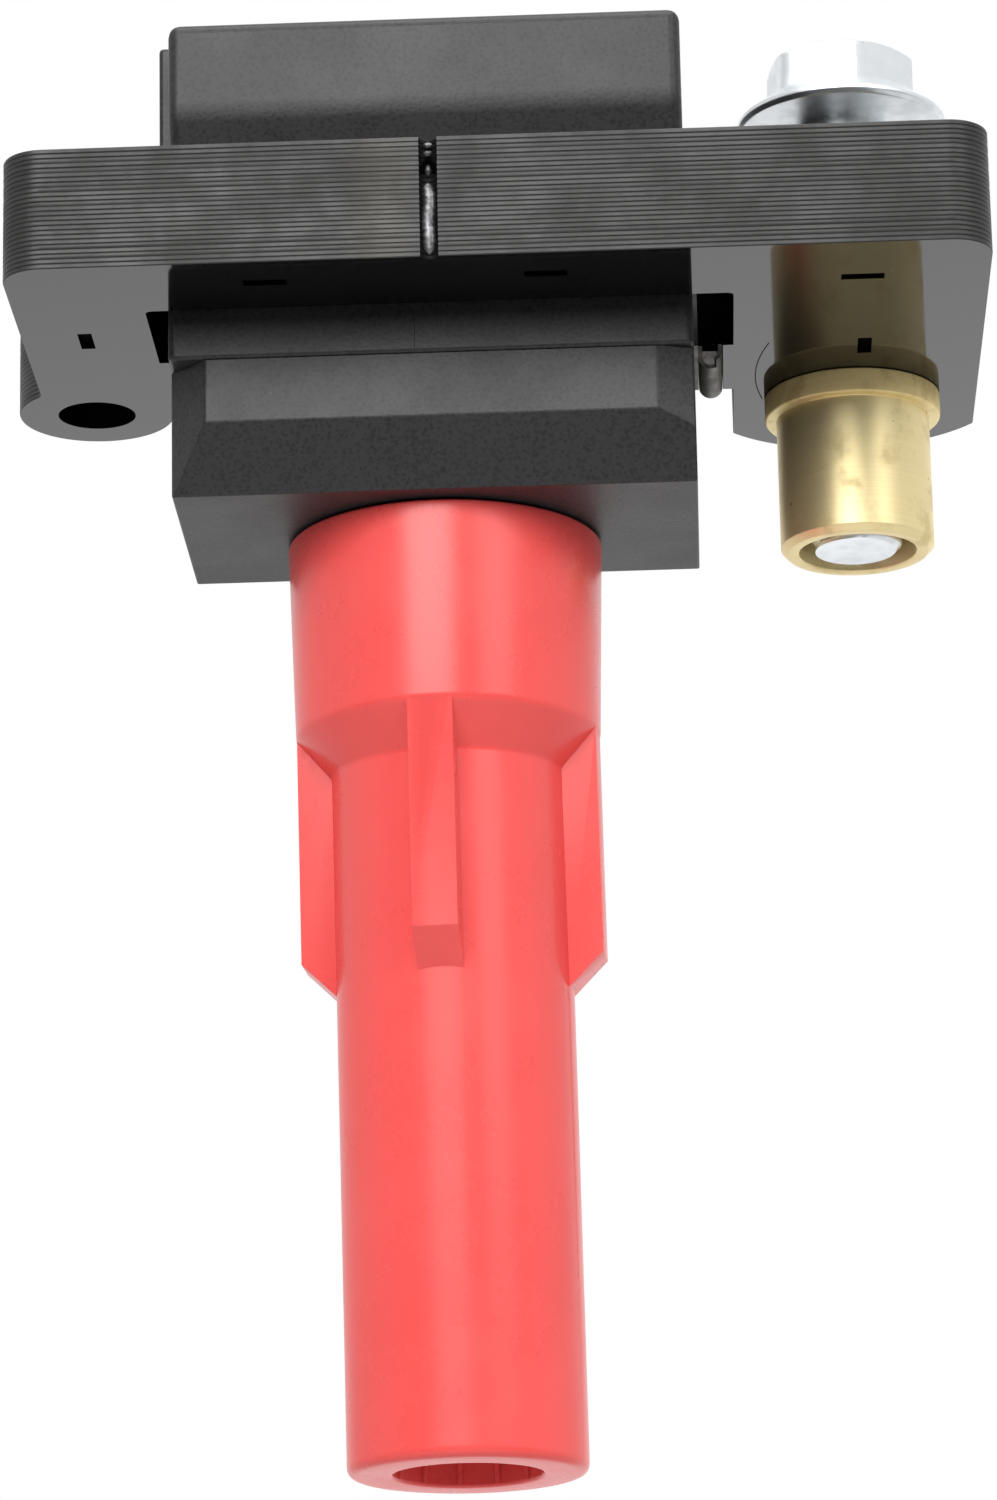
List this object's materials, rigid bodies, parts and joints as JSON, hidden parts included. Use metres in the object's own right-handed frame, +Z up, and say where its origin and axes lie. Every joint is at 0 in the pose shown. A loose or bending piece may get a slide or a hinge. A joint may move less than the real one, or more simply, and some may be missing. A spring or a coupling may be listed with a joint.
{
  "type": "ignition coil",
  "caption": "Coil-on-plug ignition coil: moulded case in a laminated core, red silicone plug boot below, captive flange bolt in a brass spacer at one side, connector at the rear.",
  "frame": {"origin": "centre of the plug boot's mouth, on the spark plug's axis", "axes": "+Z up the plug axis to the case, -Y towards the core's front leg, +X towards the brass spacer; the connector faces +Y"},
  "size_m": [0.0843, 0.0635, 0.1275],
  "materials": {
    "core_steel": "dark varnished lamination steel, glossy faces and finely lined edges",
    "weld": "dark fused weld bead",
    "magnet": "nickel-plated sintered magnet",
    "spring_steel": "bare spring steel",
    "case_plastic": "fine-grained dark grey glass-filled plastic",
    "resin": "smooth black casting resin",
    "tinned_brass": "tinned contact metal",
    "module_plastic": "black moulded package",
    "heat_plate": "bare aluminium plate",
    "bobbin_plastic": "natural glass-filled plastic",
    "copper_wire": null,
    "fine_copper_wire": null,
    "terminal_brass": "plain brass",
    "resistor_ceramic": "unglazed ceramic body with pressed metal caps",
    "boot_silicone": "red silicone rubber, satin",
    "spacer_brass": "turned brass with dull spots",
    "retainer_rubber": "black rubber ring",
    "zinc_steel": "bright zinc-plated steel"
  },
  "bodies": {
    "coil": {"core_yoke": "core_steel", "weld_bead": "weld", "core_bar": "core_steel", "bias_magnet": "magnet", "core_clip": "spring_steel", "lower_case": "case_plastic", "upper_case": "case_plastic", "potting_resin": "resin", "connector_socket": "case_plastic", "connector_terminals": "tinned_brass", "igniter_module": "module_plastic", "heat_spreader": "heat_plate", "primary_bobbin": "bobbin_plastic", "primary_winding": "copper_wire", "secondary_bobbin": "bobbin_plastic", "secondary_winding": "fine_copper_wire", "high_voltage_diode": "module_plastic", "high_voltage_lead": "tinned_brass", "output_terminal": "terminal_brass", "suppressor_resistor": "resistor_ceramic", "contact_spring": "spring_steel", "spacer_sleeve": "spacer_brass"},
    "boot": {"plug_boot": "boot_silicone"},
    "contact": {"spring_contact": "terminal_brass"},
    "bolt_ring": {"bolt_retainer": "retainer_rubber"},
    "bolt": {"mounting_bolt": "zinc_steel"}
  },
  "joints": [
    {"name": "boot_pull", "type": "slide", "parent": "coil", "child": "boot", "axis": [0, 0, -1], "range_m": [0, 0.02]},
    {"name": "contact_press", "type": "slide", "parent": "coil", "child": "contact", "axis": [0, 0, 1], "range_m": [0, 0.005], "stiffness_N_per_m": 600, "deforming": ["contact_spring"]},
    {"name": "bolt_slide", "type": "slide", "parent": "coil", "child": "bolt_ring", "axis": [0, 0, 1], "range_m": [-0.0145, 0.0065]},
    {"name": "bolt_spin", "type": "hinge", "parent": "bolt_ring", "child": "bolt", "pos_m": [0.03575, 0.0075, 0.121], "axis": [0, 0, 1], "continuous": true}
  ]
}
